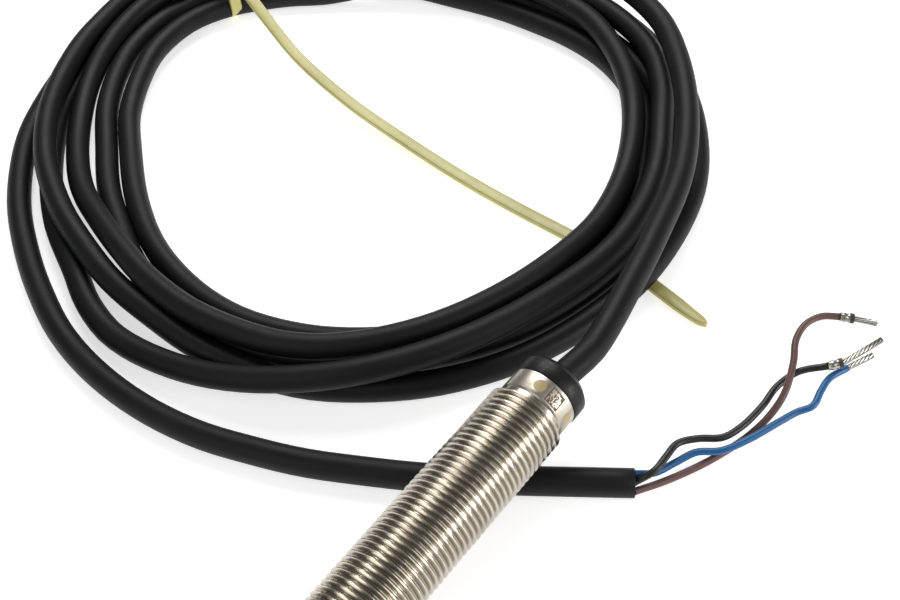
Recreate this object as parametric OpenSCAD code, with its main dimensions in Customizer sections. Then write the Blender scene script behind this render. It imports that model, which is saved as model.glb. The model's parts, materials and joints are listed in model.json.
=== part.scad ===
// Inductive proximity sensor, M12 x 1 threaded barrel, with a coiled 2 m cable.
// The barrel lies tail-up on its front nut, with the end of its own cable under it.
// +Z is up, the sensing face looks towards -Y, and x = 0 is the barrel's upright plane.
// Barrel pieces are drawn along +Z from the sensing face, then laid down by on_barrel().

/* [Barrel] */
// Length from the sensing face to the rear of the end cap
overall_len = 65; // [64.5:0.5:65.5]
// Radius of the thread's crests
thread_r = 5.97; // [5.90:0.01:5.99]
// Radius of the bore that holds the electronics
bore_r = 4.9; // [4.6:0.1:5.0]
// Where the thread stops, measured from the sensing face
thread_end = 57.4; // [56:0.1:57.4]
// Front edge of the smooth collar
collar_start = 58; // [57.8:0.1:58.2]
// Joint between the collar and the end cap
collar_end = 61.5; // [61.5:0.1:61.6]
// Radius of the smooth collar
collar_r = 5.3; // [5.2:0.05:5.4]
// Slope of the barrel, nose down, as it rests
tilt = 2.2; // [2.0:0.1:2.4]

/* [Indicator windows] */
// Number of windows around the collar
window_count = 5; // [4:1:6]
// Radius of one window
window_r = 0.95; // [0.8:0.05:1.1]
// Centre of the windows along the barrel
window_at = 59.8; // [59.6:0.1:60]
// Turn of the first window from straight up, towards +X
window_turn = 9; // [0:1:20]

/* [End cap] */
// Outer radius of the end cap
cap_r = 5.45; // [5.4:0.05:5.6]
// Length of the bevel at the cap's rear
cap_bevel = 1; // [0.6:0.1:1.2]

/* [Nuts] */
// Width across the flats
nut_flats = 17; // [16.5:0.5:17]
// Thickness of a nut
nut_t = 4; // [3.5:0.5:4]
// Radius of the nut's bore, a running fit on the thread
nut_bore_r = 6.03; // [6.02:0.01:6.06]
// Front face of the front nut
front_nut_at = 1.5; // [1.5:0.1:1.6]
// Front face of the rear nut
rear_nut_at = 9.65; // [9.65:0.05:9.8]
// Thickness of a toothed washer
washer_t = 1; // [0.8:0.1:1]
// Outer radius of a toothed washer
washer_r = 8.2; // [7.8:0.1:8.2]
// Teeth on a washer
washer_teeth = 12; // [8:1:14]

/* [Cable] */
// Diameter of the jacket
cable_d = 4.3; // [4.2:0.1:4.3]
// Height of the bundled turns
coil_h = 8; // [7.6:0.1:8]
// Diameter of one conductor with its insulation
wire_d = 1.1; // [1.0:0.1:1.2]
// Width of the cable tie's strap
strap_w = 2.5; // [2.4:0.1:2.6]
// Thickness of the cable tie's strap
strap_t = 1; // [0.8:0.1:1.1]

/* [Hidden] */

// The barrel rests on the front edge of the front nut's lower flat.
face_h = nut_flats / 2 * cos(tilt) - front_nut_at * sin(tilt);
face_y = -overall_len / 2 * cos(tilt) + 0.02;
washer_gap = 0.05;

// Stations along the barrel, from the sensing face
face_disc_t = 1;
core_end = 4.6;
cup_end = 7;
seal_end = 7.8;
board_start = 6;
board_end = 57;
lead_start = 52;
jacket_start = 58;
spigot_start = 58.4;
guide_start = 58.2;
gasket_t = 0.4;
grommet_r = 2.75;
lip_t = 0.4;

// Board sizes
board_w = 7.6;
tongue_w = 5;
board_t = 0.8;

module on_barrel() {
    translate([0, face_y, face_h]) rotate([tilt - 90, 0, 0]) children();
}

module tube(r_out, r_in, from, to) {
    translate([0, 0, from]) difference() {
        cylinder(r = r_out, h = to - from, $fn = 72);
        translate([0, 0, -1]) cylinder(r = r_in, h = to - from + 2, $fn = 72);
    }
}

// A point on the barrel's axis, at a distance from the sensing face
function axis_point(s) = [0, face_y + s * cos(tilt), face_h + s * sin(tilt)];

// Swept tube: one ring of points around each point of the route
function unit(v) = v / norm(v);
function heading(pts, i) =
    unit(pts[min(i + 1, len(pts) - 1)] - pts[max(i - 1, 0)]);
function ring(pts, i, r, sides) =
    let (t = heading(pts, i), side = unit(cross(t, [0, 0, 1])), rise = cross(side, t))
    [for (k = [0:sides - 1]) let (a = 360 * k / sides)
        pts[i] + r * (cos(a) * side + sin(a) * rise)];

module sweep(rings) {
    n = len(rings);
    m = len(rings[0]);
    points = [for (one = rings) each one];
    sides = [for (i = [0:n - 2], k = [0:m - 1])
        [i * m + k, i * m + (k + 1) % m, (i + 1) * m + (k + 1) % m, (i + 1) * m + k]];
    first = [[for (k = [m - 1:-1:0]) k]];
    last = [[for (k = [0:m - 1]) (n - 1) * m + k]];
    polyhedron(points = points, faces = concat(first, sides, last), convexity = 6);
}

module cord(pts, d, sides) {
    sweep([for (i = [0:len(pts) - 1]) ring(pts, i, d / 2, sides)]);
}

// Flat strap lying level, its width across the route
module strap(pts, widths, t) {
    sweep([for (i = [0:len(pts) - 1])
        let (h = heading(pts, i), side = unit([h.y, -h.x, 0]) * widths[i] / 2, up = [0, 0, t / 2])
        [pts[i] + side - up, pts[i] + side + up, pts[i] - side + up, pts[i] - side - up]]);
}

// Round bar between two points
module bar(a, b, r) {
    d = b - a;
    translate(a) rotate([0, acos(d.z / norm(d)), atan2(d.y, d.x)])
        cylinder(r = r, h = norm(d), $fn = 24);
}

// Lead: out of the cap, over the bundle and down into it on the far side
lead_route = [axis_point(jacket_start), axis_point(overall_len),
    [0.5, 37, 10.7], [0.5, 41, 10.4], [-0.5, 47, 10.2], [-2, 54, 10.2], [-3.5, 61, 10.2],
    [-5.5, 69, 10.2], [-8, 78, 10.2], [-12, 87, 10.2], [-18, 97, 10.2], [-26, 107, 10.2],
    [-36, 115, 9], [-48, 120, 6.5]];

// Tail: out of the bundle, round the outside and under the barrel to the cut end
tail_route = [[-131, 48, 4.5], [-127, 38, 3], [-121, 28, 2.15], [-113, 19.5, 2.15],
    [-105, 13, 2.15], [-96, 7.5, 2.15], [-87, 3, 2.15], [-75, -1.5, 2.15], [-63, -3.5, 2.15],
    [-52, -3.5, 2.15], [-42, -2, 2.15], [-34, 0.5, 2.15], [-26, 3.5, 2.15], [-18, 7.5, 2.15],
    [-9, 12.5, 2.15], [0, 18.5, 2.15], [8, 24, 2.15], [15.5, 29.2, 2.15]];

blue_route = [[14.9, 30.1, 2.9], [16.8, 32.6, 1.8], [18.2, 36, 1.6], [19.8, 39, 2], [22.6, 41, 2.4],
    [25, 45, 2.8], [27, 50, 3], [28.2, 53, 3], [29.6, 55, 3.4], [29.3, 58, 3.6], [29.2, 61, 3.5],
    [30.3, 64.5, 3.1]];
black_route = [[15.5, 29.2, 2.3], [17.2, 31.7, 3.7], [17.2, 34.8, 3.6], [17.2, 38, 3.2],
    [19, 40.5, 3], [21.8, 42.8, 3], [23, 46, 3], [23.6, 51, 3], [23.6, 55.5, 3.1],
    [25, 59.2, 3.8], [28.2, 62, 4.6]];
brown_route = [[16.1, 28.5, 1.4], [18.4, 32.8, 0.8], [20.8, 37.6, 0.7], [22.6, 41.8, 0.9],
    [24.2, 46.5, 1.3], [25.2, 50.4, 2.6], [25.4, 54, 4.2], [24, 59, 5.5], [22.4, 62.6, 6.1],
    [22.2, 66, 6.4], [23.4, 68.6, 6.5], [25.6, 70.4, 6.2]];
black_ferrule_end = [29.8, 63.5, 5];
brown_ferrule_end = [27.4, 71.4, 6];
blue_tip = [32.2, 69, 3];
black_tip = [32.5, 70.5, 5.4];
brown_tip = [30.4, 73.2, 5.2];

// Bundle of turns: an oval ring, its outline and its hole each with round ends
coil_centre = [-70, 65, 0];
coil_turn = 160;
coil_r = 60.5;
coil_straight = 16;
hole_centre = [-68, 64, 0];
hole_turn = 170;
hole_r = 43.5;
hole_straight = 13;

// Cable tie: a loop across the bundle, a head on top of its inner edge, and a long tail
tie_centre = [-125.8, 82.2, 0];
tie_turn = 163;
tie_span = 21.5;
tie_h = 11;
head_len = 5;
head_w = 4.6;
head_h = 3;
tie_route = [[-116, 79.2, 11.2], [-109, 77.4, 10.2], [-100, 74.9, 7.1], [-91, 72.4, 4.8],
    [-75, 69.5, 2.7], [-60, 67.9, 1.6], [-47, 66.8, 0.9], [-36, 66.2, 0.5], [-23, 65.8, 0.5],
    [-10, 65.5, 0.5], [-2, 63.8, 0.5], [5, 62.3, 0.5], [8, 61.8, 0.5]];
tie_widths = [for (i = [1:11]) strap_w, 2.2, 1.2];

// Sensing end

module barrel() {
    color("silver") difference() {
        rotate_extrude($fn = 96) polygon([
            [bore_r, 0], [thread_r - 0.5, 0], [thread_r, 0.5], [thread_r, thread_end],
            [collar_r - 0.15, thread_end], [collar_r - 0.15, collar_start],
            [collar_r, collar_start + 0.2], [collar_r, collar_end], [bore_r, collar_end]]);
        windows(collar_r + 1);
    }
}

// Round posts that stick out sideways at the windows
module windows(reach) {
    for (i = [0:window_count - 1])
        rotate([0, 0, window_turn - 90 + i * 360 / window_count])
            translate([bore_r - 0.4, 0, window_at]) rotate([0, 90, 0])
                cylinder(r = window_r, h = reach - bore_r + 0.4, $fn = 32);
}

module sensing_face() {
    color("black") union() {
        cylinder(r = bore_r, h = face_disc_t, $fn = 72);
        tube(bore_r, bore_r - 0.5, face_disc_t, cup_end);
    }
}

module ferrite_core() {
    color("dimgray") difference() {
        translate([0, 0, face_disc_t])
            cylinder(r = bore_r - 0.5, h = core_end - face_disc_t, $fn = 72);
        tube(3.6, 1.9, face_disc_t - 1, core_end - 0.8);
    }
}

module coil_bobbin() {
    color("ivory") rotate_extrude($fn = 72) polygon([
        [1.9, face_disc_t], [3.6, face_disc_t], [3.6, 1.4], [2.3, 1.4], [2.3, 3.4],
        [3.6, 3.4], [3.6, 3.8], [1.9, 3.8]]);
}

module coil_winding() {
    color("peru") tube(3.4, 2.3, 1.4, 3.4);
}

module core_carrier() {
    color("gray") difference() {
        union() {
            translate([0, 0, core_end])
                cylinder(r = bore_r - 0.5, h = cup_end - core_end, $fn = 72);
            translate([0, 0, cup_end]) cylinder(r = 4, h = seal_end - cup_end, $fn = 72);
        }
        circuit_shape();
    }
}

module face_seal() {
    color("black") tube(bore_r, 4, cup_end, seal_end);
}

// Electronics

module block(w, t, l, x, y, s) {
    translate([x - w / 2, y, s]) cube([w, t, l]);
}

module circuit_shape() {
    union() {
        block(tongue_w, board_t, 2.5, 0, -board_t / 2, board_start);
        block(board_w, board_t, board_end - board_start - 2.5, 0, -board_t / 2, board_start + 2.5);
    }
}

module circuit_board() {
    color("darkgreen") circuit_shape();
}

module sensor_ic() {
    color("black") block(4, 1.4, 5, 0, -board_t / 2 - 1.4, 16);
}

module output_transistor() {
    color("black") block(2.8, 1.1, 3, 0, -board_t / 2 - 1.1, 34);
}

module protection_diode() {
    color("black") block(2.4, 1.2, 4, 0, board_t / 2, 42);
}

module capacitors() {
    color("tan") for (s = [11, 25, 29, 46])
        block(1.4, 1, 2.2, -1.6, -board_t / 2 - 1, s);
}

module resistors() {
    color("black") for (s = [12, 18, 22, 26, 30, 36])
        block(0.8, 0.5, 1.6, 1.8, board_t / 2, s);
}

module status_leds() {
    color("gold") for (side = [-1, 1])
        block(1.6, 0.9, 1.4, side * 2.4, -board_t / 2 - 0.9, 55);
}

module lead_shape() {
    for (x = [-1.2, 0, 1.2])
        translate([x, -board_t / 2 - 0.5, lead_start])
            cylinder(r = 0.4, h = jacket_start - lead_start, $fn = 24);
}

module board_leads() {
    color("royalblue") lead_shape();
}

// The resin leaves a slot for the board and one shallow channel on each of its faces.
module potting_resin() {
    color("darkslategray") difference() {
        translate([0, 0, seal_end]) cylinder(r = bore_r, h = board_end - seal_end, $fn = 72);
        circuit_shape();
        block(6.5, 1.6, board_end - 10, 0, -board_t / 2 - 1.6, 10.5);
        block(6, 1.4, board_end - 10, 0, board_t / 2, 10.5);
    }
}

// Rear end

module light_guide() {
    color("khaki") difference() {
        intersection() {
            union() {
                translate([0, 0, guide_start])
                    cylinder(r = bore_r, h = collar_end - gasket_t - guide_start, $fn = 72);
                windows(collar_r + 1);
            }
            cylinder(r = collar_r, h = overall_len, $fn = 96);
        }
        cylinder(r = 4, h = overall_len, $fn = 72);
    }
}

module cap_gasket() {
    color("black") tube(bore_r, 4, collar_end - gasket_t, collar_end);
}

module end_cap() {
    color([0.1, 0.1, 0.1]) rotate_extrude($fn = 72) polygon([
        [grommet_r, spigot_start], [4, spigot_start], [4, collar_end], [cap_r, collar_end],
        [cap_r, overall_len - cap_bevel], [cap_r - cap_bevel, overall_len],
        [2.3, overall_len], [2.3, overall_len - lip_t], [grommet_r, overall_len - lip_t]]);
}

module cable_grommet() {
    color([0.15, 0.15, 0.15]) tube(grommet_r, cable_d / 2 + 0.02, spigot_start, overall_len - lip_t);
}

// Nuts and washers

module nut(at) {
    color("silver") translate([0, 0, at]) difference() {
        intersection() {
            cylinder(r = nut_flats / 2 / cos(30), h = nut_t, $fn = 6);
            rotate_extrude($fn = 72) polygon([
                [0, 0], [nut_flats / 2 + 0.1, 0], [nut_flats / 2 + 1.4, 0.7],
                [nut_flats / 2 + 1.4, nut_t - 0.7], [nut_flats / 2 + 0.1, nut_t], [0, nut_t]]);
        }
        translate([0, 0, -1]) cylinder(r = nut_bore_r, h = nut_t + 2, $fn = 96);
    }
}

module washer(at) {
    color("lightgray") union() {
        tube(washer_r, 6.9, at, at + washer_t);
        for (i = [0:washer_teeth - 1])
            rotate([0, 0, i * 360 / washer_teeth])
                translate([6.6, 0, at + washer_t / 2])
                    rotate([24, 0, 0]) cube([0.8, 1.5, 0.35], center = true);
    }
}

module front_nut() { nut(front_nut_at); }
module front_washer() { washer(front_nut_at + nut_t + washer_gap); }
module rear_washer() { washer(rear_nut_at - washer_t - washer_gap); }
module rear_nut() { nut(rear_nut_at); }

// Cable

module cable_lead() {
    color([0.1, 0.1, 0.1]) cord(lead_route, cable_d, 12);
}

module oval(r, straight) {
    for (end = [-1, 1]) translate([end * straight / 2, 0]) circle(r = r, $fn = 96);
    square([straight, 2 * r], center = true);
}

module cable_coil() {
    color([0.1, 0.1, 0.1]) linear_extrude(coil_h) difference() {
        translate(coil_centre) rotate(coil_turn) oval(coil_r, coil_straight);
        translate(hole_centre) rotate(hole_turn) oval(hole_r, hole_straight);
    }
}

module cable_tail() {
    color([0.1, 0.1, 0.1]) cord(tail_route, cable_d, 12);
}

module wire_blue() { color("dodgerblue") cord(blue_route, wire_d, 8); }
module wire_black() { color("black") cord(black_route, wire_d, 8); }
module wire_brown() { color("saddlebrown") cord(brown_route, wire_d, 8); }

module ferrule_black() {
    color("silver") bar(black_route[len(black_route) - 1], black_ferrule_end, 0.75);
}

module ferrule_brown() {
    color("silver") bar(brown_route[len(brown_route) - 1], brown_ferrule_end, 0.75);
}

module strands_blue() { color("gainsboro") bar(blue_route[len(blue_route) - 1], blue_tip, 0.45); }
module strands_black() { color("gainsboro") bar(black_ferrule_end, black_tip, 0.45); }
module strands_brown() { color("gainsboro") bar(brown_ferrule_end, brown_tip, 0.45); }

// Cable tie

module on_tie() {
    translate(tie_centre) rotate(tie_turn) children();
}

module tie_loop() {
    color("khaki") on_tie() rotate([90, 0, 0]) translate([0, 0, -strap_w / 2])
        linear_extrude(strap_w) difference() {
            translate([-tie_span / 2, 0]) square([tie_span, tie_h - strap_t]);
            translate([strap_t - tie_span / 2, strap_t])
                square([tie_span - 2 * strap_t, tie_h - 3 * strap_t]);
        }
}

module tie_head() {
    color("khaki") on_tie() translate([-tie_span / 2 - 1, -head_w / 2, tie_h - strap_t])
        cube([head_len, head_w, head_h]);
}

module tie_tail() {
    color("khaki") strap(tie_route, tie_widths, strap_t);
}

on_barrel() barrel();
on_barrel() sensing_face();
on_barrel() ferrite_core();
on_barrel() coil_bobbin();
on_barrel() coil_winding();
on_barrel() core_carrier();
on_barrel() face_seal();
on_barrel() circuit_board();
on_barrel() sensor_ic();
on_barrel() output_transistor();
on_barrel() protection_diode();
on_barrel() capacitors();
on_barrel() resistors();
on_barrel() status_leds();
on_barrel() board_leads();
on_barrel() potting_resin();
on_barrel() light_guide();
on_barrel() cap_gasket();
on_barrel() end_cap();
on_barrel() cable_grommet();
on_barrel() front_nut();
on_barrel() front_washer();
on_barrel() rear_washer();
on_barrel() rear_nut();
cable_lead();
cable_coil();
cable_tail();
wire_blue();
wire_black();
wire_brown();
ferrule_black();
ferrule_brown();
strands_blue();
strands_black();
strands_brown();
tie_head();
tie_loop();
tie_tail();
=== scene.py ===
"""Threaded proximity sensor with its tied coil of cable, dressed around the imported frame."""
import json
import logging
import math
from dataclasses import dataclass
from enum import Enum
from typing import Callable, Dict, List, Optional, Sequence, Tuple, Union

import bmesh
import bpy
import numpy as np
from mathutils import Matrix, Vector


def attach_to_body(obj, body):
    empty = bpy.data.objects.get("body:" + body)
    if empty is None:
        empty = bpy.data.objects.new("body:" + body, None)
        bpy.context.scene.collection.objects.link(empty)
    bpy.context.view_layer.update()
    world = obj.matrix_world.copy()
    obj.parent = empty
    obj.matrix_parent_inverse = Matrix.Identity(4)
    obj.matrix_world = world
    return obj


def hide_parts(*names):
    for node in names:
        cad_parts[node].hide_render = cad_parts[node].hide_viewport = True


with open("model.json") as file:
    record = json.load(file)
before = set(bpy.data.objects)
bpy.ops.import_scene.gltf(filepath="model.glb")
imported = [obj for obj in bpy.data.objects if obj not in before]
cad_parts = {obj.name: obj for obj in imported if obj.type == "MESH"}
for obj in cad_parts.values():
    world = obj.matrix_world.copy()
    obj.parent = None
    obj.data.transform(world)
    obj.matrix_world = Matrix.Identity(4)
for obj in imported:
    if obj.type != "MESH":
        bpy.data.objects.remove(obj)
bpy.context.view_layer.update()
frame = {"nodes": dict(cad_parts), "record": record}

LOG = logging.getLogger("sensor")
MM = 0.001
WHITE = (1.0, 1.0, 1.0, 1.0)
COAT_ROUGHNESS = 0.2
FINE_NOISE_ROUGHNESS = 0.6
SPLINE_STEPS = 24
BOX_FACES = ((3, 2, 1, 0), (4, 5, 6, 7), (0, 1, 5, 4), (1, 2, 6, 5), (2, 3, 7, 6), (3, 0, 4, 7))
Colour = Tuple[float, float, float]
Point = Tuple[float, float, float]


# ---------------------------------------------------------------- node graphs

class Socket:
    """A node's output. Arithmetic on it adds Math nodes to its graph."""

    def __init__(self, graph: "Graph", raw: bpy.types.NodeSocket) -> None:
        """Wrap raw, an output socket of one of graph's nodes."""
        self.graph, self.raw = graph, raw

    def math(self, operation: str, *others: "Value", clamp: bool = False) -> "Socket":
        """Add one Math node.

        Args:
            operation: the Math node's operation.
            others: the operands after this one.
            clamp: whether the result is held between 0 and 1.

        Returns:
            The node's output.
        """
        return self.graph.add("ShaderNodeMath", {"operation": operation, "use_clamp": clamp},
                              dict(enumerate((self, *others))))

    def __add__(self, other: "Value") -> "Socket":
        """Sum."""
        return self.math("ADD", other)

    def __sub__(self, other: "Value") -> "Socket":
        """Difference."""
        return self.math("SUBTRACT", other)

    def __mul__(self, other: "Value") -> "Socket":
        """Product."""
        return self.math("MULTIPLY", other)

    def __truediv__(self, other: "Value") -> "Socket":
        """Quotient."""
        return self.math("DIVIDE", other)

    def __rsub__(self, other: float) -> "Socket":
        """Difference with a number on the left."""
        return self.graph.add("ShaderNodeMath", {"operation": "SUBTRACT"}, {0: other, 1: self})

    def __rtruediv__(self, other: float) -> "Socket":
        """Quotient with a number on the left."""
        return self.graph.add("ShaderNodeMath", {"operation": "DIVIDE"}, {0: other, 1: self})

    __radd__ = __add__
    __rmul__ = __mul__

    def below(self, edge: "Value") -> "Socket":
        """1 where this is less than edge, else 0."""
        return self.math("LESS_THAN", edge)

    def ramp(self, low: float, high: float, start: float = 0.0, end: float = 1.0) -> "Socket":
        """Map low..high smoothly to start..end.

        Args:
            low: value that gives start.
            high: value that gives end.
            start: lowest result.
            end: highest result.

        Returns:
            The mapped value.
        """
        return self.graph.add("ShaderNodeMapRange", {"interpolation_type": "SMOOTHSTEP"}, {
            "Value": self, "From Min": low, "From Max": high, "To Min": start, "To Max": end})


Value = Union[Socket, float]


class Graph:
    """A node tree that is built one node at a time."""

    def __init__(self, tree: bpy.types.NodeTree) -> None:
        """Keep the tree that the nodes go into."""
        self.tree = tree

    def node(self, kind: str, settings: Optional[dict] = None,
             inputs: Optional[dict] = None) -> bpy.types.Node:
        """Add a node, set it up, then fill its sockets.

        Args:
            kind: the node's type.
            settings: attributes to set first.
            inputs: values or links by socket name or number.

        Returns:
            The node.
        """
        made = self.tree.nodes.new(kind)
        for key, value in (settings or {}).items():
            setattr(made, key, value)
        for key, value in (inputs or {}).items():
            if isinstance(value, Socket):
                self.tree.links.new(value.raw, made.inputs[key])
            else:
                made.inputs[key].default_value = value
        return made

    def add(self, kind: str, settings: Optional[dict] = None, inputs: Optional[dict] = None,
            output: Union[int, str] = 0) -> Socket:
        """Add a node as node() does, and return that output of it, wrapped."""
        return Socket(self, self.node(kind, settings, inputs).outputs[output])

    def mix(self, factor: Value, first: Union[Socket, Colour],
            second: Union[Socket, Colour]) -> Socket:
        """Mix two colours.

        Args:
            factor: share of the second colour.
            first: colour at factor 0.
            second: colour at factor 1.

        Returns:
            The mixed colour.
        """
        colours = [c if isinstance(c, Socket) else (*c, 1.0) for c in (first, second)]
        return self.add("ShaderNodeMix", {"data_type": "RGBA"},
                        {0: factor, 6: colours[0], 7: colours[1]}, output=2)


# ---------------------------------------------------------------- finishes

@dataclass(frozen=True)
class Finish:
    """A finish with a colour that varies a little, a roughness range and a fine bump.

    The grain is in spots per metre.
    """

    name: str
    colour: Colour
    second: Colour
    rough: Tuple[float, float] = (0.4, 0.6)
    grain: float = 600.0
    bump: float = 0.1
    metallic: float = 0.0
    coat: float = 0.0
    through: float = 0.0
    shine: float = 0.5
    glow: float = 0.0

    def material(self) -> bpy.types.Material:
        """Make the finish's material on first use.

        Returns:
            The material.
        """
        found = bpy.data.materials.get(self.name)
        if found:
            return found
        made = bpy.data.materials.new(self.name)
        made.use_nodes = True
        made.node_tree.nodes.clear()
        graph = Graph(made.node_tree)
        shader = graph.node("ShaderNodeBsdfPrincipled", None, {
            "Metallic": self.metallic, "Coat Weight": self.coat, "Coat Roughness": COAT_ROUGHNESS,
            "Transmission Weight": self.through, "Specular IOR Level": self.shine,
            "Emission Color": WHITE, "Emission Strength": self.glow})
        self.dress(graph, shader)
        graph.node("ShaderNodeOutputMaterial", None, {"Surface": Socket(graph, shader.outputs[0])})
        made.diffuse_color = (*self.colour, 1.0)
        return made

    def place(self, graph: Graph) -> Socket:
        """Return the object coordinates."""
        return graph.add("ShaderNodeTexCoord", output="Object")

    def noise(self, graph: Graph, scale: float, detail: float = 4.0) -> Socket:
        """Return a noise value at that scale, per metre."""
        return graph.add("ShaderNodeTexNoise", None, {
            "Vector": self.place(graph), "Scale": scale, "Detail": detail,
            "Roughness": FINE_NOISE_ROUGHNESS})

    def link(self, graph: Graph, shader: bpy.types.Node, name: str, value: Socket) -> None:
        """Link value to one of the shader's sockets."""
        graph.tree.links.new(value.raw, shader.inputs[name])

    def relief(self, graph: Graph, shader: bpy.types.Node, height: Socket,
               distance: float = 0.0001) -> None:
        """Feed a height through a Bump node to the shader's normal.

        Args:
            graph: the material's nodes.
            shader: the Principled node.
            height: the relief, from about 0 to 1.
            distance: how deep a height of 1 is, in metres.
        """
        self.link(graph, shader, "Normal", graph.add(
            "ShaderNodeBump", None, {"Strength": self.bump, "Distance": distance, "Height": height},
            output="Normal"))

    def dress(self, graph: Graph, shader: bpy.types.Node) -> None:
        """Give the shader its colour, roughness and bump.

        Args:
            graph: the material's nodes.
            shader: the Principled node.
        """
        coarse = self.noise(graph, self.grain * 0.12)
        fine = self.noise(graph, self.grain, 2.0)
        self.link(graph, shader, "Base Color", graph.mix(
            coarse.ramp(0.35, 0.7), self.colour, self.second))
        self.link(graph, shader, "Roughness", fine.ramp(0.2, 0.8, *self.rough))
        self.relief(graph, shader, fine + coarse * 0.5)


@dataclass(frozen=True)
class Jacket(Finish):
    """Matt cable jacket with pale dust specks and faint rubbed patches. Scales are per metre."""

    dust: Colour = (0.30, 0.29, 0.27)
    dust_scale: float = 260.0
    dust_size: float = 0.055
    drift_scale: float = 120.0
    patch_scale: float = 55.0

    def dress(self, graph: Graph, shader: bpy.types.Node) -> None:
        """Add dust, rubbed patches and a fine moulded grain.

        Args:
            graph: the material's nodes.
            shader: the Principled node.
        """
        fine = self.noise(graph, self.grain, 3.0)
        patch = self.noise(graph, self.patch_scale, 5.0)
        cells = graph.add("ShaderNodeTexVoronoi", None, {
            "Vector": self.place(graph), "Scale": self.dust_scale, "Randomness": 1.0},
            output="Distance")
        drift = self.noise(graph, self.drift_scale, 1.0).ramp(0.62, 0.7)
        specks = cells.below(self.dust_size) * drift
        rubbed = graph.mix(patch.ramp(0.45, 0.75), self.colour, self.second)
        self.link(graph, shader, "Base Color", graph.mix(specks, rubbed, self.dust))
        self.link(graph, shader, "Roughness",
                  (fine * 0.4 + patch * 0.6).ramp(0.3, 0.7, *self.rough))
        self.relief(graph, shader, fine + specks * 0.8)


@dataclass(frozen=True)
class Nickel(Finish):
    """Plated metal: turned rings, hazy patches and painted shade in its pits.

    Scales are per metre. The ring is the axis that the turning marks run round.
    """

    ring: Point = (0.0, 1.0, 0.0)
    # painted shade: the colour that the dented pits are darkened towards
    grease: Colour = (0.28, 0.25, 0.21)
    haze_scale: float = 170.0
    mark_scale: float = 9000.0
    mark_stretch: float = 0.12
    pit_scale: float = 2600.0
    depth: float = 0.00003

    def plated(self, graph: Graph, haze: Socket) -> Socket:
        """Return the plating's own colour, which drifts with the haze."""
        return graph.mix(haze.ramp(0.35, 0.7), self.colour, self.second)

    def tone(self, graph: Graph, haze: Socket, pits: Socket) -> Socket:
        """Return the plated colour with painted shade in the pits."""
        return graph.mix(pits * 0.35, self.plated(graph, haze), self.grease)

    def dress(self, graph: Graph, shader: bpy.types.Node) -> None:
        """Add turning marks, haze and fine pits.

        Args:
            graph: the material's nodes.
            shader: the Principled node.
        """
        haze = self.noise(graph, self.haze_scale, 5.0)
        slack = self.mark_stretch
        stretched = graph.add("ShaderNodeMapping", None, {
            "Vector": self.place(graph),
            "Scale": tuple(slack + (1.0 - slack) * abs(axis) for axis in self.ring)})
        marks = graph.add("ShaderNodeTexNoise", None, {
            "Vector": stretched, "Scale": self.mark_scale, "Detail": 2.0, "Roughness": 0.5})
        pits = self.noise(graph, self.pit_scale, 1.0).ramp(0.68, 0.78)
        self.link(graph, shader, "Base Color", self.tone(graph, haze, pits))
        self.link(graph, shader, "Roughness",
                  (haze * 0.6 + marks * 0.4).ramp(0.3, 0.7, *self.rough))
        self.relief(graph, shader, marks * 0.6 - pits * 0.5, self.depth)


@dataclass(frozen=True)
class Threaded(Nickel):
    """Plated thread with painted shade, darker towards the root of each turn. Its radii are in
    metres.
    """

    # painted shade: the colour that the thread's roots are darkened to
    shade: Colour = (0.36, 0.33, 0.28)
    root: float = 0.00545
    crest: float = 0.00592

    def tone(self, graph: Graph, haze: Socket, pits: Socket) -> Socket:
        """Paint shade on the plated colour towards the thread's roots, by the distance from the
        barrel's axis.

        Args:
            graph: the material's nodes.
            haze: the plating's haze.
            pits: the plating's pits, which the painted root shade takes the place of.

        Returns:
            The colour.
        """
        foot = LAID.axis_point(0.0)
        at = graph.node("ShaderNodeSeparateXYZ", None, {0: self.place(graph)})
        x, y, z = (Socket(graph, at.outputs[k]) for k in range(3))
        drop = (z - foot.z) * math.cos(LAID.tilt) - (y - foot.y) * math.sin(LAID.tilt)
        high = (x * x + drop * drop).math("SQRT").ramp(self.root, self.crest)
        # high is 1 at the crests; towards the roots the painted shade takes over
        return graph.mix(high, self.shade, self.plated(graph, haze))


class NamedFinish(Enum):
    """A set of finishes by name. Each member's value is its Finish."""

    @property
    def material(self) -> bpy.types.Material:
        """The finish's material."""
        return self.value.material()


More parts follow.
